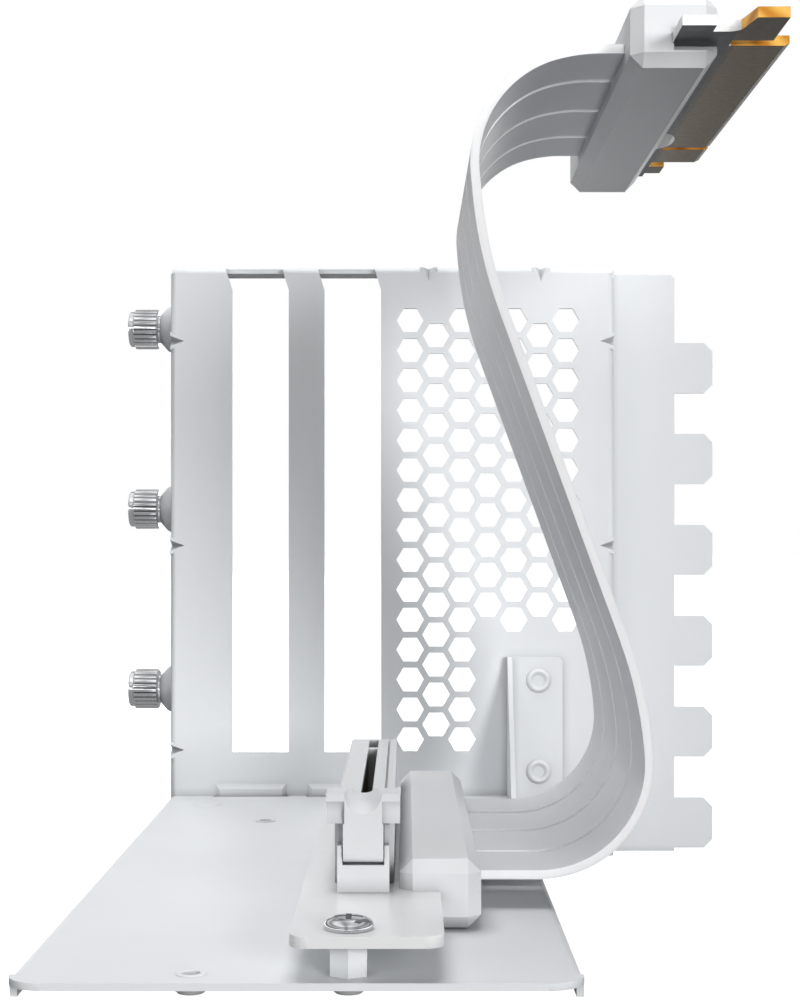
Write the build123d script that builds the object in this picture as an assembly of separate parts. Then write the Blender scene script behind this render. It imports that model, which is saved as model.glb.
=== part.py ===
from build123d import *
import os
from math import atan2, cos, degrees, hypot, pi, sin

# A vertical mount for a graphics card, in millimetres.
# The origin is the centre of the card slot's mouth. +Z leaves the slot, +Y runs along it to the
# rear bracket, and +X points to the case flange.

# Card slot
slot_width = 8.8
slot_length = 89.0
slot_height = 11.25
slit_width = 1.75
slit_depth = 8.6
groove_x = 3.0
groove_width = 0.35
groove_depth = 0.5
slit_end_wall = 2.1
key_bridge = 1.8
key_from_rear = 14.2
tower_width = 7.5
tower_depth = 8.0
tower_foot_height = 4.0
cheek_thickness = 0.75
cheek_top = -1.7
cheek_setback = 2.6
cheek_lug_wall = 0.5
contact_pitch = 1.0
contact_size = (0.4, 0.6, 7.4)
contact_margin = 1.2

# Card latch
latch_front = 8.5
latch_depth = 6.4
latch_ear_width = 10.6
latch_ear_bottom = -1.28
latch_top = 3.0
latch_saddle = (2.8, 0.7)
latch_saddle_radius = 2.7
latch_side_gap = 0.1
latch_stem_bottom = -7.0
latch_stem_depth = 3.4
latch_heel = 1.4
latch_pin_radius = 0.65
finger_radius = 2.2
finger_dip = 1.0
finger_drop = 0.75
running_gap = 0.05

# Riser board, under the slot
board_thickness = 1.57
riser_left = -9.0
riser_tab_right = 11.1
riser_front_reach = 4.9
riser_rear_reach = 6.1
riser_corner = 2.5
board_screw_x = -1.35
front_screw_to_slot = 31.6
rear_screw_to_slot = 6.9
screw_clearance = 0.15

# Board screws
screw_head_radius = 3.3
screw_head_height = 1.7
screw_head_profile = ((1, 0.3), (0.97, 0.48), (0.89, 0.67), (0.75, 0.83), (0.55, 0.94), (0.3, 1))
screw_shank_radius = 1.45
screw_tip_gap = 0.6
cross_length = 3.8
cross_width = 0.8
cross_depth = 1.1
cross_taper = 12

# Standoffs and the nuts pressed into the base plate
standoff_height = 4.38
standoff_flats = 4.8
standoff_bore = 1.5
standoff_bore_depth = 3.2
stud_radius = 1.2
stud_length = 2.4
nut_body_radius = 2.0
nut_proud = 0.2
nut_flange_radius = 3.0
nut_flange_height = 1.4
nut_dome = (2.5, 0.75)
nut_bore_radius = 1.25
nut_tip_radius = 1.7
spare_x = -21.95

# Base plate
sheet = 1.0
bend = 0.9
base_left = -45.65
base_width = 75.05
base_length = 168.3
base_front = -81.1
base_corner = 5.0
lip_height = 3.0
lip_setback = 5.0
bump_at = (-35.9, 73.0)
bump_radius = 2.9
bump_height = 0.35
ear_height = 30.6
ear_depth = 17.0
ear_flange = 11.2
ear_corner = 1.3
ear_relief = 2.0
rear_flange_x = (6.0, 26.0)
rear_flange_drop = 9.0
notch_gap = 0.4

# Rivets
rivet_body = 1.6
rivet_head = 2.75
rivet_head_height = 0.9
rivet_recess = 1.5
rivet_recess_floor = 0.3
rivet_ring = 0.5
rivet_shoulder = 0.55
rivet_tail = 0.7
rivet_hole_gap = 0.03
ear_rivet_inset = 5.3
ear_rivet_drop = (5.2, 25.2)
flange_rivet_x = (10.5, 21.5)

# Rear bracket
slot_pitch = 20.32
plate_width = 97.65
plate_height = 129.5
plate_below_base = 13.3
side_depth = 18.8
top_depth = 10.5
top_inset = 0.4
flange_rise = 0.6
step_depth = 6.3
flange_width = 14.2
flange_corner = 1.3
tongue_length = 8.5
tongue_height = 11.2
tongue_corner = 1.9
tongue_first_drop = 21.6
window_width = 12.47
window_centre = -5.5
windows = 2
window_bottom = -7.75
window_slant_from_top = 5.0
window_slant = 1.8
window_top_notch = 3.0
card_screw_radius = 1.39

# Hexagonal vents: holes in each column, from the windows outwards
hex_flats = 5.2
hex_pitch = 6.59
hex_first_drop = 11.65
hex_from_window = 6.4
hex_columns = (15, 14, 15, 10, 11, 10, 11)

# Stamped darts at the bends
dart_leg = 3.1
dart_half = 1.15
dart_rib = 1.7
dart_drops = (16.2, 61.2, 106.2)
dart_top_x = (11.2, 35.9)

# Tongue pockets, raised towards the base plate
pocket_width = 15.7
pocket_rise = 1.2
pocket_top_above_base = 2.6
pocket_shift = -2.0
pocket_slope = 40

# Thumb screws
thumb_first_drop = 12.4
thumb_count = 3
thumb_behind_plate = 11.7
boss_radius = 5.7
boss_top_radius = 3.2
boss_height = 3.4
boss_shoulder = (4.9, 1.9)
thumb_thread_radius = 1.75
thumb_shank = 8.4
thumb_relief = 1.5
thumb_relief_radius = 1.3
thumb_neck_radius = 3.1
thumb_neck = 0.45
thumb_head_radius = 4.45
thumb_head = 6.6
thumb_band = 5.2
thumb_ring_radius = 3.95
thumb_dish_radius = 2.75
thumb_dish = 0.5
knurl_ribs = 26
knurl_depth = 0.35
knurl_share = 0.42

# Small chamfers and lead-ins
edge_break = 0.3

# Cable covers
cover_chamfer = 1.9
lower_cover_gap = 0.8
lower_cover_width = 11.86
lower_cover_top_z = -6.9
lower_cover_floor_gap = 0.3
lower_cover_front = -51.1
lower_cover_length = 102.5
cover_board_reach = 7.5
upper_cover_width = 13.0
upper_cover_height = 10.8
upper_cover_front = -43.0
upper_cover_length = 102.8
upper_cover_below = 3.2
upper_cover_lap = 4.8
mouth_below_board = 1.0
mouth_width = 6.7

# Ribbon: four strips side by side. The route is the strips' centreline, seen along +Y.
strip_thickness = 1.4
strip_front = -34.3
strip_widths = (16.1, 19.2, 18.9, 16.4)
strip_gap = 1.8
lower_bend_x = 45.2
route = ((42.6, 16.0), (17.9, 83.5), (15.4, 110.9), (33.5, 114.7))
route_radii = (17.0, 66.0, 70.0, 17.0, 25.0)
upper_strip_z = 114.7
upper_board_z = 114.0
upper_board_start = 44.5

# Edge board
tongue_x = (45.8, 50.8)
edge_tongue_y = -52.5
edge_near_y = -49.2
hook_front_y = -56.5
hook_x = (54.6, 55.9, 60.5)
hook_curve = 2.0
hook_rear_y = -44.4
hook_slot = 2.9
hook_slot_x = 54.4
finger_edge_x = 63.5
finger_long = 71.65
finger_key = 1.9
finger_key_x = 54.8
finger_short = 11.65
lug_x = 57.4
lug_y = (48.0, 54.6)
edge_bevel = 0.35
edge_bevel_length = 0.8

# Places worked out from the sizes above
board_top = -slot_height
board_bottom = board_top - board_thickness
base_top = board_bottom - standoff_height
base_bottom = base_top - sheet
base_right = base_left + base_width
base_rear = base_front + base_length
plate_front = base_rear
plate_back = plate_front + sheet
plate_left = base_left
plate_right = plate_left + plate_width
plate_bottom = base_top - plate_below_base
plate_top = plate_bottom + plate_height
flange_front = plate_front + step_depth
flange_right = plate_right + flange_width
tongues = int((plate_height - tongue_first_drop - tongue_height / 2) / slot_pitch) + 1
bend_outer = bend + sheet / 2
wall_top = plate_top - bend_outer
slot_front = -slot_length / 2
slot_rear = slot_length / 2
board_screw_front_y = slot_front - front_screw_to_slot
board_screw_rear_y = slot_rear + rear_screw_to_slot
riser_front = board_screw_front_y - riser_front_reach
riser_rear = board_screw_rear_y + riser_rear_reach
latch_y = slot_front - latch_front
latch_pivot_y = latch_y + latch_heel
latch_pivot_z = latch_stem_bottom + latch_heel
latch_stem_half = tower_width / 2 - cheek_thickness - latch_side_gap
ear_top = base_top + ear_height
ear_right = base_right + ear_flange
thumb_y = plate_front + thumb_behind_plate
lower_cover_x = slot_width / 2 + lower_cover_gap
lower_cover_right = lower_cover_x + lower_cover_width
lower_cover_bottom_z = base_top + lower_cover_floor_gap
board_mid = board_top - board_thickness / 2
riser_right = lower_cover_x + cover_board_reach
upper_cover_right = upper_board_start - upper_cover_lap + upper_cover_width
upper_cover_left = upper_cover_right - upper_cover_width
upper_cover_floor = upper_board_z - board_thickness / 2 - upper_cover_below


def block(x, y, z):
    """A box between three pairs of limits."""
    size = [abs(b - a) for a, b in (x, y, z)]
    middle = [(a + b) / 2 for a, b in (x, y, z)]
    return Pos(*middle) * Box(*size)


def upright(radius, at, z):
    """A cylinder along Z between two heights."""
    return Pos(*at, (z[0] + z[1]) / 2) * Cylinder(radius, abs(z[1] - z[0]))


def deep(radius, at, y):
    """A cylinder along Y between two depths, at an X and a Z."""
    return Pos(at[0], (y[0] + y[1]) / 2, at[1]) * Rot(90, 0, 0) * Cylinder(radius, abs(y[1] - y[0]))


def turned(points, place):
    """A body of revolution about +Z from (radius, height) points, moved to its place."""
    section = make_face(Plane.XZ * Polyline(*points, close=True))
    return place * revolve(section, Axis.Z, 360)


def strip_section(points, radii, thickness):
    """The face of a bent strip: its centreline's points, the bends' radii and its thickness."""
    ways = []
    for (ax, ay), (bx, by) in zip(points, points[1:]):
        length = hypot(bx - ax, by - ay)
        ways.append(((bx - ax) / length, (by - ay) / length))
    left, right, left_radii, right_radii = [], [], [], []
    for i, (x, y) in enumerate(points):
        d0 = ways[max(i - 1, 0)]
        d1 = ways[min(i, len(ways) - 1)]
        scale = thickness / 2 / (1 + d0[0] * d1[0] + d0[1] * d1[1])
        nx, ny = -(d0[1] + d1[1]) * scale, (d0[0] + d1[0]) * scale
        left.append((x + nx, y + ny))
        right.append((x - nx, y - ny))
        inner = 0 < i < len(points) - 1
        turn = d0[0] * d1[1] - d0[1] * d1[0]
        lean = thickness / 2 if turn > 0 else -thickness / 2
        left_radii.append(radii[i - 1] - lean if inner else 0)
        right_radii.append(radii[i - 1] + lean if inner else 0)
    corner_radii = left_radii + right_radii[::-1]
    return make_face(FilletPolyline(*left, *reversed(right), radius=corner_radii, close=True))


def folded_along_z(points, z):
    """A sheet folded along Z: its (x, y) centreline between two heights."""
    section = strip_section(points, [bend] * (len(points) - 2), sheet)
    return Pos(0, 0, z[0]) * extrude(section, z[1] - z[0])


def folded_along_y(points, y):
    """A sheet folded along Y: its (x, z) centreline between two depths."""
    section = strip_section(points, [bend] * (len(points) - 2), sheet)
    return Pos(0, y[0], 0) * extrude(Plane.XZ * section, -(y[1] - y[0]))


def folded_along_x(points, x):
    """A sheet folded along X: its (y, z) centreline between two sides."""
    section = strip_section(points, [bend] * (len(points) - 2), sheet)
    return Pos(x[0], 0, 0) * extrude(Plane.YZ * section, x[1] - x[0])


def wedge(corner, face_way, wall_way, along, leg, half):
    """A four-cornered wedge across a bend: two corners on the bend, one on each sheet face."""
    c, f, w, a = (Vector(*v) for v in (corner, face_way, wall_way, along))
    p = [c - a * half, c + a * half, c + f * leg, c + w * leg]
    corners = ((0, 1, 2), (0, 1, 3), (0, 2, 3), (1, 2, 3))
    return Solid(Shell([Face(Wire.make_polygon([p[i] for i in three])) for three in corners]))


def window_x(i):
    return window_centre - i * slot_pitch


def window_cut(i):
    """One card window, open through the top bend, its head slanted."""
    left, right = window_x(i) - window_width / 2, window_x(i) + window_width / 2
    knee, head = plate_top - window_slant_from_top, plate_top + sheet
    outline = Polyline(
        (left, window_bottom), (right, window_bottom), (right, knee), (right - window_slant, head),
        (left - window_slant, head), (left, knee), close=True)
    depth = window_top_notch + sheet
    return Pos(0, plate_front - sheet, 0) * extrude(make_face(Plane.XZ * outline), -depth)


def vent_holes():
    """The field of hexagonal holes, as prisms through the plate."""
    prism = Rot(90, 0, 0) * extrude(RegularPolygon(hex_flats / 2, 6, major_radius=False), sheet, both=True)
    first_x = window_centre + window_width / 2 + hex_from_window
    holes = []
    for column, count in enumerate(hex_columns):
        x = first_x + column * hex_pitch * sin(pi / 3)
        z = plate_top - hex_first_drop - (column % 2) * hex_pitch / 2
        holes += [Pos(x, plate_front + sheet / 2, z - row * hex_pitch) * prism for row in range(count)]
    return holes


def darts(leg, half):
    """The wedges of every dart: along both upright bends and the top bend."""
    shapes = []
    for drop in dart_drops:
        z = plate_top - drop
        shapes.append(wedge((plate_left, plate_front, z), (1, 0, 0), (0, 1, 0), (0, 0, 1), leg, half))
        shapes.append(wedge((plate_right, plate_front, z), (-1, 0, 0), (0, 1, 0), (0, 0, 1), leg, half))
    for x in dart_top_x:
        shapes.append(wedge((x, plate_front, plate_top), (0, 0, -1), (0, 1, 0), (1, 0, 0), leg, half))
    return shapes


def pocket_x(i):
    return window_x(i) + pocket_shift


def pocket(i):
    """One raised tongue pocket, bevelled at its ends and top and open at the bottom."""
    top, bottom = base_top + pocket_top_above_base, plate_bottom - 2 * pocket_rise
    face = Plane.XZ * Pos(pocket_x(i), (top + bottom) / 2) * Rectangle(pocket_width, top - bottom)
    raised = Pos(0, plate_front, 0) * extrude(face, pocket_rise, taper=pocket_slope)
    y = (plate_front - 2 * pocket_rise, plate_front)
    return raised & block((plate_left, plate_right), y, (plate_bottom, top))


def tongue_z(i):
    return plate_top - tongue_first_drop - i * slot_pitch


def thumb_z(i):
    return plate_top - thumb_first_drop - i * 2 * slot_pitch


def rear_bracket():
    """The rear bracket: one sheet with windows, vents, darts, pockets, bosses and a case flange."""
    side, step = plate_left + sheet / 2, plate_right - sheet / 2
    face, outer = plate_front + sheet / 2, flange_front + sheet / 2
    folds = [
        (side, plate_front + side_depth), (side, face), (step, face), (step, outer), (flange_right, outer)]
    body = folded_along_z(folds, (plate_bottom, wall_top))
    body += folded_along_z(folds[2:], (wall_top - sheet, wall_top + flange_rise))
    roof_z = plate_top - sheet / 2
    roof_folds = [(face, plate_bottom + bend_outer), (face, roof_z), (plate_front + top_depth, roof_z)]
    roof = folded_along_x(roof_folds, (plate_left + bend_outer, plate_right - bend_outer))
    cap = folded_along_x(roof_folds, (plate_left + top_inset, plate_right - top_inset))
    y = (plate_front, plate_front + top_depth)
    roof += cap & block((plate_left, plate_right), y, (wall_top, plate_top))
    tongue_plate = chamfer(Rectangle(2 * tongue_length, tongue_height).vertices(), tongue_corner)
    tongue = Rot(90, 0, 0) * extrude(tongue_plate, sheet / 2, both=True)
    for i in range(tongues):
        body += Pos(flange_right, outer, tongue_z(i)) * tongue
    corner = body.edges().filter_by(Axis.Y).group_by(Axis.Z)[-1].sort_by(Axis.X)[-1]
    body = fillet(corner, flange_corner) + roof
    body += darts(dart_leg + dart_rib, dart_half + dart_rib / 2)
    body -= darts(dart_leg, dart_half)
    for i in range(windows):
        body += pocket(i)
        body -= Pos(0, sheet, 0) * pocket(i)
        body -= window_cut(i)
        at = (window_x(i) + slot_pitch / 2, plate_front + (window_top_notch + top_depth) / 2)
        body -= upright(card_screw_radius, at, (plate_top - 2 * sheet, plate_top + sheet))
    body -= vent_holes()
    for i in range(thumb_count):
        place = Pos(plate_left, thumb_y, thumb_z(i)) * Rot(0, -90, 0)
        outside = [(0, 0), (boss_radius, 0), boss_shoulder, (boss_top_radius, boss_height), (0, boss_height)]
        body += turned(outside, place)
        hollow = [(r, h - sheet) for r, h in outside]
        body -= turned(hollow, place)
        body -= place * Cylinder(thumb_thread_radius + running_gap, 4 * boss_height)
    for hole in ear_rivets() + flange_rivets():
        body -= deep(rivet_body + rivet_hole_gap, hole, (plate_front - sheet, plate_back + sheet))
    return body


def ear_rivets():
    """The (x, z) places of the ear's rivets."""
    return [(ear_right - ear_rivet_inset, ear_top - drop) for drop in ear_rivet_drop]


def flange_rivets():
    """The (x, z) places of the hidden rear flange's rivets."""
    return [(x, base_bottom - rear_flange_drop / 2) for x in flange_rivet_x]


def base_plate():
    """The base plate: lips folded down, a gusset ear folded up and a hidden rear flange."""
    left, right, mid = base_left + sheet / 2, base_right - sheet / 2, base_top - sheet / 2
    lip_end, lip_start = base_top - lip_height, base_front + lip_setback
    ear_start = base_rear - ear_depth
    folds = [(left, lip_end), (left, mid), (right, mid), (right, lip_end)]
    tray = folded_along_y(folds, (lip_start, base_rear))
    inset = bend_outer
    lip_z = (lip_end - sheet, base_top + sheet)
    tray -= block((right - inset, base_right + sheet), (ear_start - ear_relief, base_rear + sheet), lip_z)
    length = base_rear - base_front
    flat = extrude(Rectangle(base_width, length), sheet)
    front_edges = flat.edges().filter_by(Axis.Z).group_by(Axis.Y)[0]
    middle = Pos((base_left + base_right) / 2, (base_front + base_rear) / 2, base_bottom)
    flat = middle * fillet(front_edges, base_corner)
    tray += flat & block((base_left, base_right), (base_front, lip_start), (base_bottom, base_top))
    tray += block((base_right - 2 * inset, base_right), (ear_start, base_rear), (base_bottom, base_top))
    rear, before = base_rear - sheet / 2, ear_start - sheet
    ear = folded_along_z([(right, ear_start), (right, rear), (ear_right, rear)], (base_bottom, ear_top))
    slope = Polyline((before, base_top), (base_rear - 2 * sheet, ear_top), (before, ear_top), close=True)
    ear -= Pos(base_right - 2 * sheet, 0, 0) * extrude(make_face(Plane.YZ * slope), 3 * sheet)
    tip = ear.edges().filter_by(Axis.Y).group_by(Axis.Z)[-1].sort_by(Axis.X)[-1]
    tray += fillet(tip, ear_corner)
    drop = base_bottom - rear_flange_drop
    tray += folded_along_x([(base_rear - base_corner, mid), (rear, mid), (rear, drop)], rear_flange_x)
    half = pocket_width / 2 + notch_gap
    notch_y = (base_rear - pocket_rise - notch_gap, base_rear + sheet)
    for i in range(windows):
        tray -= block((pocket_x(i) - half, pocket_x(i) + half), notch_y, lip_z)
    bump = [(0, 0), (bump_radius, 0), (bump_radius - bump_height, bump_height), (0, bump_height)]
    tray += turned(bump, Pos(*bump_at, base_top))
    for at in nut_places():
        tray -= upright(nut_body_radius, at, (base_bottom - sheet, base_top + sheet))
    for hole in ear_rivets() + flange_rivets():
        tray -= deep(rivet_body + rivet_hole_gap, hole, (base_rear - 2 * sheet, base_rear + sheet))
    return tray


def nut_places():
    """The (x, y) places of the pressed-in nuts: two in use and two spare."""
    return [(x, y) for x in (board_screw_x, spare_x) for y in (board_screw_front_y, board_screw_rear_y)]


def pressed_nut(at, proud):
    """One nut pressed into the base plate from below, with a domed flange."""
    top = base_top + proud
    under = base_bottom - nut_flange_height
    dome = [
        (nut_bore_radius, under + edge_break), (nut_bore_radius + edge_break, under), (nut_tip_radius, under),
        (nut_dome[0], base_bottom - nut_dome[1]), (nut_flange_radius, base_bottom),
        (nut_body_radius, base_bottom), (nut_body_radius, top), (nut_bore_radius, top)]
    return turned(dome, Pos(*at, 0))


def standoff(at):
    """A hexagonal standoff with a screw bore above and a stud below."""
    body = Pos(*at, base_top) * Rot(0, 0, 30) * extrude(
        RegularPolygon(standoff_flats / 2, 6, major_radius=False), standoff_height)
    body -= upright(standoff_bore, at, (board_bottom - standoff_bore_depth, board_bottom))
    return body + upright(stud_radius, at, (base_top - stud_length, base_top))


def board_screw(at):
    """A pan-head screw with a cross recess."""
    h = screw_head_height
    dome = [(r * screw_head_radius, z * h) for r, z in screw_head_profile]
    body = turned([(0, 0), (screw_head_radius, 0), *dome, (0, h)], Pos(*at, board_top))
    shank = board_thickness + standoff_bore_depth - screw_tip_gap
    body += upright(screw_shank_radius, at, (board_top - shank, board_top))
    top = board_top + h
    for size in ((cross_length, cross_width), (cross_width, cross_length)):
        body -= Pos(*at, top) * extrude(Rectangle(*size), -cross_depth, taper=cross_taper)
    return body


def riser_board():
    """The circuit board under the slot, its right side held in the lower cover."""
    z = (board_bottom, board_top)
    tab_end = lower_cover_front
    tab = extrude(Rectangle(riser_tab_right - riser_left, riser_rear - riser_front), board_thickness)
    tab = fillet(tab.edges().filter_by(Axis.Z), riser_corner)
    board = Pos((riser_left + riser_tab_right) / 2, (riser_front + riser_rear) / 2, board_bottom) * tab
    inset = cover_chamfer
    board += block(
        (riser_left + inset, riser_right), (tab_end + inset, tab_end + lower_cover_length - inset), z)
    for y in (board_screw_front_y, board_screw_rear_y):
        through = (board_bottom - sheet, board_top + sheet)
        board -= upright(screw_shank_radius + screw_clearance, (board_screw_x, y), through)
    return board


def slit_spans():
    """The (start, end) of the slot's long and short slits along Y."""
    key_rear = slot_rear - key_from_rear
    return [(slot_front + slit_end_wall, key_rear - key_bridge), (key_rear, slot_rear - slit_end_wall)]


def slot_housing():
    """The slot's moulding: two slits with contact wells, and the tower that holds the latch."""
    half = slot_width / 2
    body = block((-half, half), (slot_front, slot_rear), (board_top, 0))
    body = chamfer(body.edges().filter_by(Axis.Y).group_by(Axis.Z)[-1], edge_break)
    for y in slit_spans():
        body -= block((-slit_width / 2, slit_width / 2), y, (-slit_depth, 1))
        well = slit_width / 2 + contact_size[0]
        body -= block((-well, well), y, (-slit_depth, contact_size[2] - slit_depth))
    groove = (groove_x - groove_width / 2, groove_x + groove_width / 2)
    body -= block(groove, (slot_front - slit_width, slot_rear + slit_width), (-groove_depth, groove_depth))
    tower, half = slot_front - tower_depth, tower_width / 2
    body += block((-half, half), (tower, slot_front), (board_top, board_top + tower_foot_height))
    lug_top = latch_pivot_z + latch_pin_radius + cheek_lug_wall
    for side in (-1, 1):
        x = sorted((side * half, side * (half - cheek_thickness)))
        body += block(x, (tower, slot_front), (board_top, lug_top))
        body += block(x, (tower + cheek_setback, slot_front), (board_top, cheek_top))
    pivot = Pos(0, latch_pivot_y, latch_pivot_z) * Rot(0, 90, 0)
    return body - pivot * Cylinder(latch_pin_radius + running_gap, slot_width)


def slot_contacts():
    """The spring contacts: a row on each side of each slit."""
    contact = Box(*contact_size)
    x = slit_width / 2 + contact_size[0] / 2
    z = contact_size[2] / 2 - slit_depth
    rows = []
    for start, end in slit_spans():
        count = int((end - start - 2 * contact_margin) / contact_pitch) + 1
        first = (start + end - (count - 1) * contact_pitch) / 2
        for i in range(count):
            rows += [Pos(side * x, first + i * contact_pitch, z) * contact for side in (-1, 1)]
    return Compound(children=rows)


def slot_latch():
    """The T-shaped card latch: ears with finger dips, a sloping saddle, a stem and pivot pins."""
    half, stem = latch_ear_width / 2, latch_stem_half
    rear = latch_y + latch_depth
    body = block((-half, half), (latch_y, rear), (latch_ear_bottom, latch_top))
    for side in (-1, 1):
        dip_x = side * (latch_saddle_radius + half) / 2
        middle = (latch_ear_bottom + latch_top) / 2 - finger_drop
        dip = Pos(dip_x, latch_y + finger_dip - finger_radius, middle) * Rot(0, 90, 0)
        body -= dip * Cylinder(finger_radius, half - latch_saddle_radius)
    front_dip, rear_dip = latch_saddle
    slope = degrees(atan2(front_dip - rear_dip, latch_depth))
    low = latch_top - (front_dip + rear_dip) / 2
    scoop = Pos(0, (latch_y + rear) / 2, low) * Rot(slope, 0, 0) * Pos(0, 0, latch_saddle_radius)
    body -= scoop * Rot(90, 0, 0) * Cylinder(latch_saddle_radius, 2 * latch_depth)
    stem_rear = latch_y + latch_stem_depth
    outline = Polyline(
        (latch_pivot_y, latch_ear_bottom), (latch_y, latch_ear_bottom), (latch_y, latch_pivot_z))
    outline += ThreePointArc(
        (latch_y, latch_pivot_z),
        (latch_pivot_y - latch_heel * cos(pi / 4), latch_pivot_z - latch_heel * sin(pi / 4)),
        (latch_pivot_y, latch_stem_bottom))
    outline += Polyline(
        (latch_pivot_y, latch_stem_bottom), (stem_rear, latch_pivot_z), (stem_rear, latch_ear_bottom),
        (latch_pivot_y, latch_ear_bottom))
    body += Pos(-stem, 0, 0) * extrude(make_face(Plane.YZ * outline), 2 * stem)
    pin_half = stem + latch_side_gap + cheek_thickness
    pivot = Pos(0, latch_pivot_y, latch_pivot_z) * Rot(0, 90, 0)
    return body + pivot * Cylinder(latch_pin_radius, 2 * pin_half)


def chamfered_cover(x, y, z):
    """A cable cover's whole outer shape, chamfered all round."""
    shape = block(x, y, z)
    return chamfer(shape.edges(), cover_chamfer)


def strip_ends():
    """The (start, end) of each ribbon strip along Y."""
    ends, y = [], strip_front
    for width in strip_widths:
        ends.append((y, y + width))
        y += width + strip_gap
    return ends


def strip_limits(middle):
    """The limits across a strip's thickness, about its middle."""
    return (middle - strip_thickness / 2, middle + strip_thickness / 2)


def cover_halves(whole, seam, insides):
    """A cover split at its seam, with the boards and strips that it clamps taken out."""
    for inside in insides:
        whole -= inside
    box = whole.bounding_box()
    x, y = (box.min.X - 1, box.max.X + 1), (box.min.Y - 1, box.max.Y + 1)
    top = whole & block(x, y, (seam, box.max.Z + 1))
    bottom = whole & block(x, y, (box.min.Z - 1, seam))
    return top, bottom


def lower_cover():
    """The two halves of the lower cable cover."""
    whole = chamfered_cover(
        (lower_cover_x, lower_cover_right), (lower_cover_front, lower_cover_front + lower_cover_length),
        (lower_cover_bottom_z, lower_cover_top_z))
    x = (riser_right, lower_cover_right + cover_chamfer)
    strips = [block(x, y, strip_limits(board_mid)) for y in strip_ends()]
    return cover_halves(whole, board_mid, [riser_board(), *strips])


def upper_cover():
    """The two halves of the upper cable cover, with the mouth that the edge board leaves by."""
    z = (upper_cover_floor, upper_cover_floor + upper_cover_height)
    front = upper_cover_front
    whole = chamfered_cover((upper_cover_left, upper_cover_right), (front, front + upper_cover_length), z)
    board = (upper_board_z - board_thickness / 2, upper_board_z + board_thickness / 2)
    mouth = block(
        (upper_cover_right - mouth_width, upper_cover_right + cover_chamfer),
        (front - cover_chamfer, front + cover_chamfer), (board[0] - mouth_below_board, board[1]))
    x = (upper_cover_left - cover_chamfer, upper_board_start)
    strips = [block(x, y, strip_limits(upper_strip_z)) for y in strip_ends()]
    return cover_halves(whole, upper_board_z, [edge_board(), mouth, *strips])


def ribbon_section():
    """The ribbon's bent section, from the riser board's edge to the edge board."""
    ends = (riser_right, board_mid), (upper_board_start, upper_strip_z)
    points = [ends[0], (lower_bend_x, board_mid), *route, ends[1]]
    return strip_section(points, route_radii, strip_thickness)


def ribbon_strip(i):
    start, end = strip_ends()[i]
    return Pos(0, start, 0) * extrude(Plane.XZ * ribbon_section(), -(end - start))


def edge_board():
    """The plug board: a hook, a key notch, a bevelled finger edge and a rear lug."""
    x0, y_slot = upper_board_start, hook_rear_y
    finger_start = y_slot + hook_slot
    key_start = finger_start + finger_long
    key_end = key_start + finger_key
    finger_end = key_end + finger_short
    rear = upper_cover_front + upper_cover_length - cover_chamfer
    front = upper_cover_front + cover_chamfer
    outline = Polyline(
        (x0, front), (tongue_x[0], front), (tongue_x[0], edge_tongue_y), (tongue_x[1], edge_tongue_y),
        (tongue_x[1], edge_near_y), (hook_x[0], edge_near_y), (hook_x[1], hook_front_y),
        (hook_x[2], hook_front_y), (hook_x[2], y_slot), (hook_slot_x, y_slot), (hook_slot_x, finger_start),
        (finger_edge_x, finger_start), (finger_edge_x, key_start), (finger_key_x, key_start),
        (finger_key_x, key_end), (finger_edge_x, key_end), (finger_edge_x, finger_end),
        (hook_slot_x, finger_end), (hook_slot_x, lug_y[0]), (lug_x, lug_y[0]), (lug_x, lug_y[1]),
        (hook_slot_x, lug_y[1]), (hook_slot_x, rear), (x0, rear), close=True)
    plan = make_face(outline)
    plan = fillet(plan.vertices().sort_by_distance((hook_x[0], edge_near_y, 0))[0], hook_curve)
    z = upper_board_z - board_thickness / 2
    board = Pos(0, 0, z) * extrude(plan, board_thickness)
    for side in (-1, 1):
        face = upper_board_z + side * board_thickness / 2
        bevel = Polyline(
            (finger_edge_x - edge_bevel_length, face), (finger_edge_x + 1, face),
            (finger_edge_x + 1, face - side * edge_bevel * (1 + 1 / edge_bevel_length)), close=True)
        cutter = extrude(make_face(Plane.XZ * bevel), -(finger_end - finger_start))
        board -= Pos(0, finger_start, 0) * cutter
    return board


def rivet(at, head_face, tail_face):
    """A ring-headed rivet through both sheets, its head towards the front."""
    grip = tail_face - head_face
    h, floor = rivet_head_height, rivet_recess_floor
    tail = rivet_body + rivet_tail
    outline = [
        (0, -floor), (rivet_recess - edge_break, -floor), (rivet_recess, edge_break - h),
        (rivet_recess + rivet_ring, -h), (rivet_head - edge_break, -rivet_shoulder), (rivet_head, 0),
        (rivet_body, 0), (rivet_body, grip), (tail, grip), (tail - rivet_tail / 2, grip + rivet_tail),
        (0, grip + rivet_tail)]
    return turned(outline, Pos(at[0], head_face, at[1]) * Rot(-90, 0, 0))


def rivets(places):
    return Compound(children=[rivet(at, base_rear - sheet, plate_back) for at in places])


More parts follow.
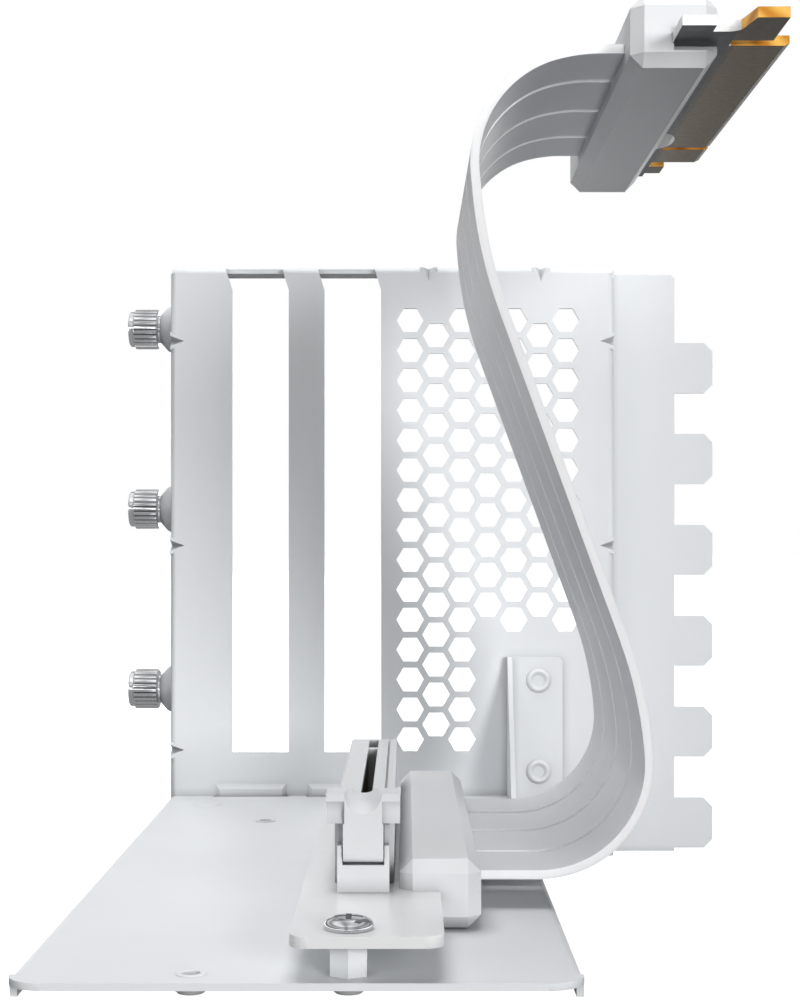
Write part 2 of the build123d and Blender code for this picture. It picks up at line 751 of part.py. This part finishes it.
def thumb_screw(i):
    """A captive thumb screw: knurled head, neck and threaded shank along +X."""
    neck_end = thumb_neck + running_gap
    head_end = neck_end + thumb_head
    band_end = neck_end + thumb_band
    tip, relief = -thumb_shank, -thumb_relief
    outline = [
        (0, tip), (thumb_thread_radius - 2 * edge_break, tip), (thumb_thread_radius, tip + 2 * edge_break),
        (thumb_thread_radius, relief), (thumb_relief_radius, relief), (thumb_relief_radius, running_gap),
        (thumb_neck_radius, running_gap), (thumb_neck_radius, neck_end),
        (thumb_head_radius - edge_break, neck_end), (thumb_head_radius, neck_end + edge_break),
        (thumb_head_radius, band_end), (thumb_ring_radius, band_end + edge_break),
        (thumb_ring_radius, head_end - edge_break), (thumb_ring_radius - edge_break, head_end),
        (thumb_dish_radius + edge_break, head_end), (thumb_dish_radius, head_end - thumb_dish),
        (0, head_end - thumb_dish)]
    body = turned(outline, Pos(0, 0, 0))
    groove_half = pi * thumb_head_radius / knurl_ribs * knurl_share
    rim = thumb_head_radius + running_gap
    bottom = thumb_head_radius - knurl_depth
    groove = Polyline((bottom, 0), (rim, groove_half), (rim, -groove_half), close=True)
    cut = Pos(0, 0, neck_end - running_gap) * extrude(make_face(groove), thumb_band + edge_break)
    body -= [Rot(0, 0, 360 * k / knurl_ribs) * cut for k in range(knurl_ribs)]
    place = Pos(plate_left - boss_height, thumb_y, thumb_z(i)) * Rot(0, -90, 0)
    return place * body


def all_parts():
    """Every sub-part by its node name."""
    lower_top, lower_bottom = lower_cover()
    upper_top, upper_bottom = upper_cover()
    nodes = {
        "rear_bracket": rear_bracket(),
        "base_plate": base_plate(),
        "gusset_rivets": rivets(ear_rivets()),
        "flange_rivets": rivets(flange_rivets()),
        "plate_inserts": Compound(children=[
            pressed_nut(at, nut_proud if at[0] == spare_x else 0) for at in nut_places()]),
        "riser_board": riser_board(),
        "slot_housing": slot_housing(),
        "slot_contacts": slot_contacts(),
        "slot_latch": slot_latch(),
        "lower_cover_top": lower_top,
        "lower_cover_bottom": lower_bottom,
        "upper_cover_top": upper_top,
        "upper_cover_bottom": upper_bottom,
        "edge_board": edge_board(),
    }
    for name, y in (("front", board_screw_front_y), ("rear", board_screw_rear_y)):
        nodes[f"standoff_{name}"] = standoff((board_screw_x, y))
        nodes[f"board_screw_{name}"] = board_screw((board_screw_x, y))
    for i, name in enumerate(("upper", "middle", "lower")):
        nodes[f"thumb_screw_{name}"] = thumb_screw(i)
    for i in range(len(strip_widths)):
        nodes[f"ribbon_{i + 1}"] = ribbon_strip(i)
    return nodes


os.makedirs("parts", exist_ok=True)
for name, shape in all_parts().items():
    export_step(shape, f"parts/{name}.step")
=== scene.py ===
import bpy
from math import pi, radians
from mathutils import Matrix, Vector


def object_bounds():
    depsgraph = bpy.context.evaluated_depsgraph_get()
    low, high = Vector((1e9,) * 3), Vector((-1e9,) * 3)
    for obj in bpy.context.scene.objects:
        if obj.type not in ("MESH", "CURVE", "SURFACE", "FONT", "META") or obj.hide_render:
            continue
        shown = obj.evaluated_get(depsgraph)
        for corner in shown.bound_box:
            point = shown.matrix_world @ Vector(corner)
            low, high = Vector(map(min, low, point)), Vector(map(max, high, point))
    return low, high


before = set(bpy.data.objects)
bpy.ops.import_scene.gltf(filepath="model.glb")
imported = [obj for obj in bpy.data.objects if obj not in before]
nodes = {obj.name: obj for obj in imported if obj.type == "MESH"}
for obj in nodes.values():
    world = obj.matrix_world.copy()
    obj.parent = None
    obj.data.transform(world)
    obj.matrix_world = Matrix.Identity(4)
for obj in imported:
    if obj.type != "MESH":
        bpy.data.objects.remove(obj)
cad_low, cad_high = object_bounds()
MM = 0.001
X_AXIS = 0

# Camera: it looks along +Y, square to the rear bracket, with the photograph's pixels
EYE = Vector((6.0, -314.3, 40.1)) * MM
FOCAL_PIXELS = 1825.0
IMAGE_SIZE = (800, 1000)
AXIS_PIXEL = (405.0, 535.0)
SENSOR = 36.0
CLIP_METRES = (0.01, 20)

# The surround: fill light on matt faces, and how bright polished faces see it, as stops of
# position and level from straight down to straight up and from left to right
FILL = 0.01
HEIGHT_BANDS = (
    (0.0, 0.3), (0.38, 0.5), (0.44, 2.4), (0.54, 2.7), (0.58, 0.25), (0.63, 0.3), (0.72, 1.1), (0.8, 0.4),
    (0.9, 1.5), (1.0, 0.9))
SIDE_BANDS = ((0.0, 0.7), (0.3, 1.0), (0.42, 0.45), (0.55, 1.0), (0.8, 0.55), (1.0, 0.9))

# The floor: white where the camera sees it, nearly black to the light that it would throw back,
# and with a low glow in polished faces
FLOOR_LEFT_RIGHT = (-3, 3)
FLOOR_FRONT_BACK = (-3, 6)
FLOOR_DROP = 0.5 * MM
FLOOR_WHITE = (0.9, 0.9, 0.9, 1)
FLOOR_UNSEEN = (0.02, 0.02, 0.02, 1)
FLOOR_GLOW = 0.28

# Colours, in linear light
COAT_WHITE = (0.835, 0.855, 0.875, 1)
MOULDING_WHITE = (0.70, 0.71, 0.725, 1)
BOARD_WHITE = (0.87, 0.875, 0.88, 1)
JACKET_GREY = (0.69, 0.70, 0.725, 1)
# painted light: the ribbons' side edges take this paler colour, as if lit
JACKET_PAINTED_EDGE_LIGHT = (0.93, 0.94, 0.96, 1)
CHROME = (0.90, 0.91, 0.93, 1)
SCREW_CHROME = (0.60, 0.61, 0.63, 1)
LAMINATE = (0.12, 0.086, 0.046, 1)
# dark blue-grey for the plug board's faces further back from the plug edge
DARK_BAND_COLOUR = (0.04, 0.045, 0.055, 1)
GOLD = (1.0, 0.58, 0.13, 1)
# painted shade: the dark gold of the diagonal bands on the plated edges
GOLD_IN_PAINTED_SHADE = (0.6, 0.22, 0.02, 1)
# painted shade: the dim gold of the fingers' undersides
FINGER_GOLD_IN_PAINTED_SHADE = (0.165, 0.11, 0.052, 1)
TOP_GOLD = (0.85, 0.55, 0.20, 1)
PAD_WHITE = (0.95, 0.94, 0.90, 1)
CONTACT_METAL = (0.25, 0.22, 0.16, 1)

# How far a face's normal leans before it counts as facing up, down or sideways
LEVEL_FACE = 0.6
SIDE_FACE = 0.7

# The thumb screws' thread: pitch, and how far behind the head's face it starts
THREAD_PITCH = 0.79 * MM
THREAD_HEIGHT = 0.6 * MM
THREAD_SETBACK = 8.65 * MM

# The plug board: how far its finishes reach back from the plug edge, and where they lie along Y
GOLD_DEPTH = 8.8 * MM
DARK_BAND_DEPTH = 9.1 * MM
FINGER_DEPTHS = (0.8 * MM, 8.3 * MM)
FINGER_ENDS = (-41 * MM, 43.2 * MM)
FINGERS_PER_METRE = 1000.0
FINGER_SHARE = 0.7
PAD_DEPTH = 10.3 * MM
PAD_Y = 24.8 * MM
PAD_HALF_SIZE = (2.7 * MM, 6.6 * MM)
# painted highlights and shade: how many diagonal bands per metre cross the plated edges
PAINTED_HIGHLIGHT_STREAKS_PER_METRE = 120.0

# Painted shade in crevices: how far a gap darkens its walls, and the share of the colour left at its bottom
COAT_CREVICE_SHADE = (2.0 * MM, 0.5)
MOULDING_CREVICE_SHADE = (2.5 * MM, 0.45)
KNURL_CREVICE_SHADE = (0.5 * MM, 0.3)
BOARD_CREVICE_SHADE = (2.0 * MM, 0.5)
CREVICE_SHADE_SAMPLES = 6

# Modifiers that soften the edges, and the smallest angle that counts as an edge
WELD_DISTANCE = 0.002 * MM
EDGE_ANGLE = radians(35)
EDGE_SEGMENTS = 2


def shader(name, colour, roughness, metallic=0.0, coat=0.0, coat_roughness=0.1, specular=0.5):
    """A material with a Principled shader; returns it with its node tree and shader node."""
    material = bpy.data.materials.new(name)
    material.use_nodes = True
    tree = material.node_tree
    principled = tree.nodes["Principled BSDF"]
    principled.inputs["Base Color"].default_value = colour
    principled.inputs["Roughness"].default_value = roughness
    principled.inputs["Metallic"].default_value = metallic
    principled.inputs["Coat Weight"].default_value = coat
    principled.inputs["Coat Roughness"].default_value = coat_roughness
    principled.inputs["Specular IOR Level"].default_value = specular
    return material, tree, principled


def add(tree, kind, **values):
    """A node of that kind with its input values set by name."""
    node = tree.nodes.new(kind)
    for key, value in values.items():
        node.inputs[key.replace("_", " ")].default_value = value
    return node


def connect(tree, value, socket):
    """Feeds an input socket from another socket or with a plain value."""
    if isinstance(value, bpy.types.NodeSocket):
        tree.links.new(value, socket)
    else:
        socket.default_value = value


def maths(tree, operation, a, b=0.0):
    """A maths node over sockets or numbers."""
    node = tree.nodes.new("ShaderNodeMath")
    node.operation = operation
    connect(tree, a, node.inputs[0])
    connect(tree, b, node.inputs[1])
    return node.outputs["Value"]


def between(tree, source, low, high):
    """One inside the limits, nought outside."""
    above = maths(tree, "GREATER_THAN", source, low)
    return maths(tree, "MULTIPLY", above, maths(tree, "LESS_THAN", source, high))


def own_coordinates(tree):
    """The place of a point in the part's own coordinates, in metres."""
    return tree.nodes.new("ShaderNodeTexCoord").outputs["Object"]


def parts_of(tree, vector):
    """The X, Y and Z of a vector socket."""
    node = tree.nodes.new("ShaderNodeSeparateXYZ")
    tree.links.new(vector, node.inputs["Vector"])
    return node.outputs["X"], node.outputs["Y"], node.outputs["Z"]


def face_direction(tree):
    """The X, Y and Z of the flat face's normal."""
    return parts_of(tree, tree.nodes.new("ShaderNodeNewGeometry").outputs["True Normal"])


def noise(tree, scale, detail=2.0):
    """Noise over the part's own coordinates, in cells per metre."""
    texture = add(tree, "ShaderNodeTexNoise", Scale=scale, Detail=detail)
    tree.links.new(own_coordinates(tree), texture.inputs["Vector"])
    return texture.outputs["Fac"]


def waves(tree, direction, scale, distortion):
    """Straight bands over the part's own coordinates."""
    texture = add(tree, "ShaderNodeTexWave", Scale=scale, Distortion=distortion)
    texture.wave_type = "BANDS"
    texture.bands_direction = direction
    tree.links.new(own_coordinates(tree), texture.inputs["Vector"])
    return texture.outputs["Fac"]


def spread(tree, source, low, high):
    """Maps a 0 to 1 value onto a range."""
    node = add(tree, "ShaderNodeMapRange", To_Min=low, To_Max=high)
    tree.links.new(source, node.inputs["Value"])
    return node.outputs["Result"]


def blend_colours(tree, factor, a, b, way="MIX"):
    """Mixes two colours or sockets by a factor."""
    node = tree.nodes.new("ShaderNodeMix")
    node.data_type = "RGBA"
    node.blend_type = way
    connect(tree, factor, node.inputs["Factor"])
    first, second = [socket for socket in node.inputs if socket.type == "RGBA"]
    connect(tree, a, first)
    connect(tree, b, second)
    return [socket for socket in node.outputs if socket.type == "RGBA"][0]


def shaded(colour, share):
    """A share of a colour."""
    return (*[level * share for level in colour[:3]], 1)


def mottled(tree, colour, scale, share):
    """A colour that wanders softly towards a share of itself."""
    return blend_colours(tree, noise(tree, scale), colour, shaded(colour, share))


def painted_crevice_shade(tree, colour, reach, share):
    """Paints shade into a colour socket: darkens it in the corners and gaps of the part."""
    # painted shade: ambient occlusion darkens the colour where corners and gaps would be shaded
    occlusion_shade = add(tree, "ShaderNodeAmbientOcclusion", Distance=reach)
    occlusion_shade.samples = CREVICE_SHADE_SAMPLES
    shade_tint = blend_colours(tree, occlusion_shade.outputs["AO"], (share, share, share, 1), (1, 1, 1, 1))
    return blend_colours(tree, 1.0, colour, shade_tint, way="MULTIPLY")


def bump(tree, principled, height, distance, strength=1.0, under=None):
    """A bump of that height in metres on the shader, over another bump if one is given."""
    node = add(tree, "ShaderNodeBump", Distance=distance, Strength=strength)
    tree.links.new(height, node.inputs["Height"])
    if under is not None:
        tree.links.new(under, node.inputs["Normal"])
    tree.links.new(node.outputs["Normal"], principled.inputs["Normal"])
    return node.outputs["Normal"]


def extent(name, axis):
    """The lowest and highest place of a CAD node along an axis, in metres."""
    places = [corner[axis] for corner in nodes[name].bound_box]
    return min(places), max(places)


def powder_coat():
    """Satin white powder coat: fine orange peel, a faint mottle, uneven gloss and painted shade in its
    corners and gaps.
    """
    material, tree, principled = shader(
        "powder_coat", COAT_WHITE, 0.42, coat=0.06, coat_roughness=0.3, specular=0.3)
    colour = mottled(tree, COAT_WHITE, 60, 0.955)
    # painted shade: the coat's colour darkens in corners and gaps
    tree.links.new(painted_crevice_shade(tree, colour, *COAT_CREVICE_SHADE), principled.inputs["Base Color"])
    tree.links.new(spread(tree, noise(tree, 220), 0.36, 0.5), principled.inputs["Roughness"])
    peel = bump(tree, principled, noise(tree, 1900, 1.0), 0.03 * MM, 0.5)
    bump(tree, principled, noise(tree, 5200, 3.0), 0.008 * MM, 0.4, under=peel)
    return material


def moulded_plastic():
    """Satin white moulded plastic with a fine spark-eroded grain and painted shade in its corners and gaps.
    """
    material, tree, principled = shader("white_moulding", MOULDING_WHITE, 0.36, specular=0.2)
    colour = mottled(tree, MOULDING_WHITE, 90, 0.965)
    # painted shade: the plastic's colour darkens in corners and gaps
    tree.links.new(painted_crevice_shade(tree, colour, *MOULDING_CREVICE_SHADE), principled.inputs["Base Color"])
    tree.links.new(spread(tree, noise(tree, 400), 0.31, 0.43), principled.inputs["Roughness"])
    bump(tree, principled, noise(tree, 6500, 3.0), 0.012 * MM, 0.5)
    return material


def plated(name, colour, roughness):
    """Bright plating with faint drawn lines and handling haze."""
    material, tree, principled = shader(name, colour, roughness, metallic=1.0)
    tree.links.new(mottled(tree, colour, 700, 0.88), principled.inputs["Base Color"])
    haze = spread(tree, noise(tree, 1500), roughness * 0.7, roughness * 1.6)
    tree.links.new(haze, principled.inputs["Roughness"])
    bump(tree, principled, noise(tree, 4200), 0.006 * MM, 0.35)
    return material


def threaded_chrome():
    """The chrome of the thumb screws, with a rolled thread on the shanks behind the wall and painted shade
    in the knurl grooves.
    """
    material, tree, principled = shader("threaded_chrome", CHROME, 0.14, metallic=1.0)
    colour = mottled(tree, CHROME, 700, 0.88)
    # painted shade: the chrome's colour darkens in the knurl grooves
    tree.links.new(painted_crevice_shade(tree, colour, *KNURL_CREVICE_SHADE), principled.inputs["Base Color"])
    tree.links.new(spread(tree, noise(tree, 1500), 0.12, 0.2), principled.inputs["Roughness"])
    x = parts_of(tree, own_coordinates(tree))[X_AXIS]
    head_face = extent("thumb_screw_upper", X_AXIS)[0]
    ridge = maths(tree, "PINGPONG", maths(tree, "DIVIDE", x, THREAD_PITCH), 0.5)
    on_shank = maths(tree, "GREATER_THAN", x, head_face + THREAD_SETBACK)
    thread = bump(tree, principled, maths(tree, "MULTIPLY", ridge, on_shank), THREAD_HEIGHT)
    bump(tree, principled, noise(tree, 4200), 0.002 * MM, 0.15, under=thread)
    return material


def solder_mask():
    """White solder mask: glossy, with faint copper tracks under it and painted shade in its corners and
    gaps.
    """
    material, tree, principled = shader("solder_mask", BOARD_WHITE, 0.3, coat=0.3, coat_roughness=0.12)
    colour = mottled(tree, BOARD_WHITE, 160, 0.95)
    # painted shade: the mask's colour darkens in corners and gaps
    tree.links.new(painted_crevice_shade(tree, colour, *BOARD_CREVICE_SHADE), principled.inputs["Base Color"])
    tree.links.new(spread(tree, noise(tree, 500), 0.25, 0.38), principled.inputs["Roughness"])
    tracks = add(tree, "ShaderNodeTexBrick", Scale=260.0, Mortar_Size=0.03)
    tree.links.new(own_coordinates(tree), tracks.inputs["Vector"])
    under = bump(tree, principled, tracks.outputs["Fac"], 0.006 * MM, 0.25)
    bump(tree, principled, noise(tree, 3500), 0.01 * MM, 0.3, under=under)
    return material


def cable_jacket():
    """Grey jacket with the faint lengthwise ribs of its conductors and painted light on its side edges."""
    material, tree, principled = shader("cable_jacket", JACKET_GREY, 0.38, specular=0.2)
    principled.inputs["Subsurface Weight"].default_value = 0.55
    principled.inputs["Subsurface Radius"].default_value = (1.0, 1.0, 1.0)
    principled.inputs["Subsurface Scale"].default_value = 1.6 * MM
    # painted light: faces that face along Y take the paler edge colour
    side = maths(tree, "GREATER_THAN", maths(tree, "ABSOLUTE", face_direction(tree)[1]), SIDE_FACE)
    face = mottled(tree, JACKET_GREY, 45, 0.93)
    tree.links.new(blend_colours(tree, side, face, JACKET_PAINTED_EDGE_LIGHT), principled.inputs["Base Color"])
    tree.links.new(spread(tree, noise(tree, 260), 0.33, 0.46), principled.inputs["Roughness"])
    ribs = bump(tree, principled, waves(tree, "Y", 250.0, 0.0), 0.03 * MM, 0.25)
    bump(tree, principled, noise(tree, 2600), 0.01 * MM, 0.4, under=ribs)
    return material


def finger_pattern(tree, x, y, plug_edge):
    """One on the plug board's contact fingers, nought between and beyond them."""
    stripe = maths(tree, "FRACT", maths(tree, "MULTIPLY", y, FINGERS_PER_METRE))
    fingers = maths(tree, "LESS_THAN", stripe, FINGER_SHARE)
    tip, root = FINGER_DEPTHS
    fingers = maths(tree, "MULTIPLY", fingers, between(tree, x, plug_edge - root, plug_edge - tip))
    return maths(tree, "MULTIPLY", fingers, between(tree, y, *FINGER_ENDS))


def pad_pattern(tree, x, y, up, plug_edge):
    """One on the oval pad under the plug board, nought elsewhere."""
    half_x, half_y = PAD_HALF_SIZE
    dx = maths(tree, "DIVIDE", maths(tree, "SUBTRACT", x, plug_edge - PAD_DEPTH), half_x)
    dy = maths(tree, "DIVIDE", maths(tree, "SUBTRACT", y, PAD_Y), half_y)
    reach = maths(tree, "ADD", maths(tree, "MULTIPLY", dx, dx), maths(tree, "MULTIPLY", dy, dy))
    underside = maths(tree, "LESS_THAN", up, -LEVEL_FACE)
    return maths(tree, "MULTIPLY", maths(tree, "LESS_THAN", reach, 1.0), underside)


def plug_board():
    """Dark laminate with gold fingers dimmed by painted shade on their undersides, gold-plated cut edges
    with diagonal bands of painted highlight and shade, a line of painted shade along the plug edge's rim,
    dark blue-grey faces further back from the plug edge, a white near edge and a pale pad.
    """
    material, tree, principled = shader("gold_edged_board", LAMINATE, 0.3, specular=0.25)
    plug_edge = extent("edge_board", X_AXIS)[1]
    x, y, _ = parts_of(tree, own_coordinates(tree))
    up = face_direction(tree)[2]
    cut = maths(tree, "LESS_THAN", maths(tree, "ABSOLUTE", up), LEVEL_FACE)
    gold_from = plug_edge - GOLD_DEPTH
    plated_edge = maths(tree, "MULTIPLY", cut, maths(tree, "GREATER_THAN", x, gold_from))
    white_edge = maths(tree, "MULTIPLY", cut, maths(tree, "LESS_THAN", x, gold_from))
    fingers = finger_pattern(tree, x, y, plug_edge)
    # painted shade: the fingers take dim gold on their undersides and bright gold on top
    finger_gold_with_painted_shade = blend_colours(tree, maths(tree, "GREATER_THAN", up, LEVEL_FACE), FINGER_GOLD_IN_PAINTED_SHADE, TOP_GOLD)
    colour = blend_colours(tree, fingers, mottled(tree, LAMINATE, 1400, 0.75), finger_gold_with_painted_shade)
    # faces more than this depth back from the plug edge are coloured dark blue-grey
    dark_band = maths(tree, "LESS_THAN", x, plug_edge - DARK_BAND_DEPTH)
    colour = blend_colours(tree, dark_band, colour, DARK_BAND_COLOUR)
    # painted shade: a dark line along the plug edge's rim, from a darkened copy of the laminate
    rim = maths(tree, "GREATER_THAN", x, plug_edge - FINGER_DEPTHS[0])
    colour = blend_colours(tree, rim, colour, shaded(LAMINATE, 0.15))
    # painted highlights and shade: diagonal bands of bright and dark gold along the plated edges
    painted_highlight_streaks = spread(tree, waves(tree, "DIAGONAL", PAINTED_HIGHLIGHT_STREAKS_PER_METRE, 3.0), 0.1, 1.0)
    colour = blend_colours(tree, plated_edge, colour, blend_colours(tree, painted_highlight_streaks, GOLD_IN_PAINTED_SHADE, GOLD))
    colour = blend_colours(tree, white_edge, colour, BOARD_WHITE)
    colour = blend_colours(tree, pad_pattern(tree, x, y, up, plug_edge), colour, PAD_WHITE)
    tree.links.new(colour, principled.inputs["Base Color"])
    edge_metal = maths(tree, "MULTIPLY", plated_edge, 0.4)
    metal = maths(tree, "MAXIMUM", edge_metal, maths(tree, "MULTIPLY", fingers, 0.9))
    tree.links.new(metal, principled.inputs["Metallic"])
    dull = spread(tree, noise(tree, 900), 0.24, 0.4)
    dull = maths(tree, "ADD", dull, maths(tree, "MULTIPLY", plated_edge, 0.18))
    tree.links.new(dull, principled.inputs["Roughness"])
    bump(tree, principled, noise(tree, 3000), 0.012 * MM, 0.4)
    return material


def dress(name, material, edge=None):
    """Gives a CAD node its finish and, where the real piece has them, softened edges."""
    piece = nodes[name]
    piece.data.materials.clear()
    piece.data.materials.append(material)
    if edge is None:
        return
    weld = piece.modifiers.new("weld", "WELD")
    weld.merge_threshold = WELD_DISTANCE
    bevel = piece.modifiers.new("edge", "BEVEL")
    bevel.width = edge * MM
    bevel.segments = EDGE_SEGMENTS
    bevel.limit_method = "ANGLE"
    bevel.angle_limit = EDGE_ANGLE
    bevel.harden_normals = True


def dress_all():
    """Each finish on its pieces, with the width of their softened edges in millimetres."""
    finishes = (
        (powder_coat(), {
            "rear_bracket": 0.10, "base_plate": 0.14, "gusset_rivets": 0.08, "flange_rivets": 0.08,
            "plate_inserts": 0.06, "standoff_front": 0.12, "standoff_rear": 0.12}),
        (moulded_plastic(), {
            "slot_housing": 0.08, "slot_latch": 0.14, "lower_cover_top": None, "lower_cover_bottom": None,
            "upper_cover_top": None, "upper_cover_bottom": None}),
        (plated("chrome_plate", SCREW_CHROME, 0.07), {"board_screw_front": 0.08, "board_screw_rear": 0.08}),
        (threaded_chrome(), {
            "thumb_screw_upper": 0.06, "thumb_screw_middle": 0.06, "thumb_screw_lower": 0.06}),
        (plated("contact_gold", CONTACT_METAL, 0.3), {"slot_contacts": None}),
        (solder_mask(), {"riser_board": 0.12}),
        (cable_jacket(), {f"ribbon_{i}": None for i in range(1, 5)}),
        (plug_board(), {"edge_board": 0.05}),
    )
    for material, edges in finishes:
        for name, edge in edges.items():
            dress(name, material, edge)


def only_seen(tree, seen, unseen):
    """A strength for what the camera sees directly and another for the light that it gives."""
    path = tree.nodes.new("ShaderNodeLightPath")
    return spread(tree, path.outputs["Is Camera Ray"], unseen, seen)


def floor_paper():
    """Plain white paper for the floor."""
    material, tree, principled = shader("stage_paper", FLOOR_WHITE, 0.9)
    tree.links.new(spread(tree, noise(tree, 30), 0.85, 0.95), principled.inputs["Roughness"])
    principled.inputs["Emission Color"].default_value = (1, 1, 1, 1)
    polished = tree.nodes.new("ShaderNodeLightPath").outputs["Is Glossy Ray"]
    glow = maths(tree, "ADD", only_seen(tree, 1.0, 0.0), maths(tree, "MULTIPLY", polished, FLOOR_GLOW))
    tree.links.new(glow, principled.inputs["Emission Strength"])
    colour = blend_colours(tree, only_seen(tree, 1.0, 0.0), FLOOR_UNSEEN, FLOOR_WHITE)
    tree.links.new(colour, principled.inputs["Base Color"])
    return material


def floor():
    """The floor's sheet, a little below the part."""
    (left, right), (front, back), height = FLOOR_LEFT_RIGHT, FLOOR_FRONT_BACK, cad_low.z - FLOOR_DROP
    corners = [(left, front, height), (right, front, height), (right, back, height), (left, back, height)]
    mesh = bpy.data.meshes.new("floor")
    mesh.from_pydata([Vector(corner) for corner in corners], [], [(0, 1, 2, 3)])
    mesh.materials.append(floor_paper())
    sheet = bpy.data.objects.new("floor", mesh)
    bpy.context.scene.collection.objects.link(sheet)


def band(tree, coordinate, stops):
    """The level of the surround against one part of the direction, which runs from -1 to 1."""
    ramp = tree.nodes.new("ShaderNodeValToRGB")
    position = maths(tree, "ADD", maths(tree, "MULTIPLY", coordinate, 0.5), 0.5)
    tree.links.new(position, ramp.inputs["Fac"])
    elements = ramp.color_ramp.elements
    elements.remove(elements[0])
    for i, (place, level) in enumerate(stops):
        stop = elements[0] if i == 0 else elements.new(place)
        stop.position = place
        stop.color = (level, level, level, 1)
    return ramp.outputs["Color"]


def surround():
    """A world that is white to the camera, dim to matt faces and banded in polished ones."""
    world = bpy.data.worlds.new("surround")
    bpy.context.scene.world = world
    world.use_nodes = True
    tree = world.node_tree
    background = tree.nodes["Background"]
    background.inputs["Color"].default_value = (1, 1, 1, 1)
    side, _, height = parts_of(tree, tree.nodes.new("ShaderNodeTexCoord").outputs["Generated"])
    bands = maths(tree, "MULTIPLY", band(tree, height, HEIGHT_BANDS), band(tree, side, SIDE_BANDS))
    path = tree.nodes.new("ShaderNodeLightPath")
    polished = maths(tree, "MULTIPLY", path.outputs["Is Glossy Ray"], bands)
    matt = maths(tree, "MULTIPLY", path.outputs["Is Diffuse Ray"], FILL)
    unseen = maths(tree, "ADD", polished, matt)
    tree.links.new(maths(tree, "ADD", unseen, path.outputs["Is Camera Ray"]), background.inputs["Strength"])


def place_light(name, data, place, aim):
    """Puts a light in the scene, aimed at a point in millimetres and unseen in polished metal."""
    lamp = bpy.data.objects.new(name, data)
    bpy.context.scene.collection.objects.link(lamp)
    lamp.location = Vector(place) * MM
    lamp.visible_glossy = False
    lamp.rotation_mode = "QUATERNION"
    lamp.rotation_quaternion = (Vector(aim) - Vector(place)).to_track_quat("-Z", "Y")


def soft_light(name, place, aim, side, watts):
    """A square area light, in millimetres."""
    data = bpy.data.lights.new(name, "AREA")
    data.shape = "SQUARE"
    data.size = side * MM
    data.energy = watts
    place_light(name, data, place, aim)


def spot_light(name, place, aim, cone_degrees, radius, watts):
    """A narrow spotlight with a soft rim, in millimetres and degrees."""
    data = bpy.data.lights.new(name, "SPOT")
    data.spot_size = radians(cone_degrees)
    data.spot_blend = 0.8
    data.shadow_soft_size = radius * MM
    data.energy = watts
    place_light(name, data, place, aim)


def lights():
    """The key from the right, weak light from below and the left, and two lights on the top faces."""
    soft_light("key", place=(1250, -2450, 520), aim=(10, 40, 40), side=900, watts=55)
    soft_light("low", place=(-100, -2450, -160), aim=(0, 40, 40), side=1200, watts=11)
    soft_light("fill", place=(-1500, -2000, 900), aim=(0, 40, 40), side=1500, watts=14)
    soft_light("top", place=(-40, 60, 620), aim=(0, 40, 0), side=420, watts=3.0)
    soft_light("back", place=(-1300, 2600, 900), aim=(0, 40, 30), side=1200, watts=34)
    upper_cover = (46, -40, 119)
    spot_light("accent", place=(70, -900, 30), aim=upper_cover, cone_degrees=5.5, radius=20, watts=11.5)


def camera():
    """The camera, from the photograph's measured vanishing point and focal length."""
    data = bpy.data.cameras.new("camera")
    view = bpy.data.objects.new("camera", data)
    bpy.context.scene.collection.objects.link(view)
    bpy.context.scene.camera = view
    view.location = EYE
    view.rotation_euler = (pi / 2, 0, 0)
    long_side = max(IMAGE_SIZE)
    data.sensor_width = SENSOR
    data.lens = FOCAL_PIXELS * SENSOR / long_side
    data.shift_x = -(AXIS_PIXEL[0] - IMAGE_SIZE[0] / 2) / long_side
    data.shift_y = (AXIS_PIXEL[1] - IMAGE_SIZE[1] / 2) / long_side
    data.clip_start, data.clip_end = CLIP_METRES


dress_all()
floor()
surround()
lights()
camera()
bpy.context.scene.view_settings.view_transform = "Standard"
